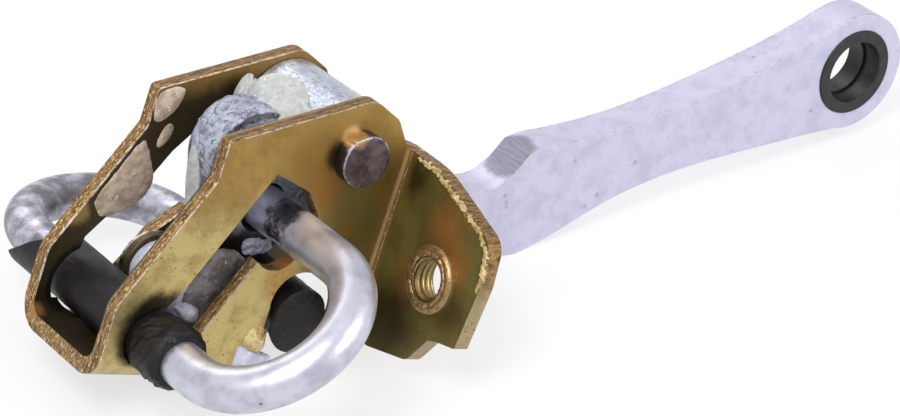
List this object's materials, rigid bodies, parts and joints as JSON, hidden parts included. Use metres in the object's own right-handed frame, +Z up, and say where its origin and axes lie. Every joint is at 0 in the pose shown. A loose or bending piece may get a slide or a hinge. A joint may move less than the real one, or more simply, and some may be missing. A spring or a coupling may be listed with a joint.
{
  "type": "over-centre lever lock",
  "caption": "Compact over-centre lever lock: a folded slotted steel yoke with a threaded side lug, a short swinging lever with a bushed eye, and a bent rod bow in rubber sleeves.",
  "frame": {"origin": "centre of the bounding box's underside, with the bracket lying as it rests on a flat surface", "axes": "+X from the yoke towards the lever's eye, +Y along the pivot from the lug side to the far side, +Z up"},
  "size_m": [0.2038, 0.0994, 0.0518],
  "materials": {
    "yellow_zinc": "yellow passivated zinc on pressed steel",
    "bright_zinc": "bright zinc on pressed steel",
    "bright_rod": "smooth bright zinc on round rod",
    "dull_steel": "dull bare steel",
    "dark_bush": "dark moulded plastic",
    "black_rubber": "matte black rubber hose"
  },
  "bodies": {
    "yoke": {"yoke_bracket": "yellow_zinc", "pivot_pin": "dull_steel", "keeper_stud": "bright_zinc", "keeper_collar": "yellow_zinc"},
    "lever_arm": {"lever": "bright_zinc", "eye_bush_near": "dark_bush", "eye_bush_far": "dark_bush"},
    "bow": {"bow_rod": "bright_rod", "heel_sleeve": "black_rubber", "toe_sleeve": "black_rubber"}
  },
  "joints": [
    {"name": "lever_pivot", "type": "hinge", "parent": "yoke", "child": "lever_arm", "pos_m": [-0.04397, 0.00038, 0.04069], "axis": [0, 1, 0], "range_deg": [-4.2, 9]},
    {"name": "bow_rock", "type": "hinge", "parent": "yoke", "child": "bow", "pos_m": [-0.08904, 0.00038, 0.01594], "axis": [0, -1, 0], "range_deg": [-2.4, 5.05]}
  ],
  "couplings": [
    {"joint": "bow_rock", "follows": "lever_pivot", "ratio": 0.555}
  ]
}
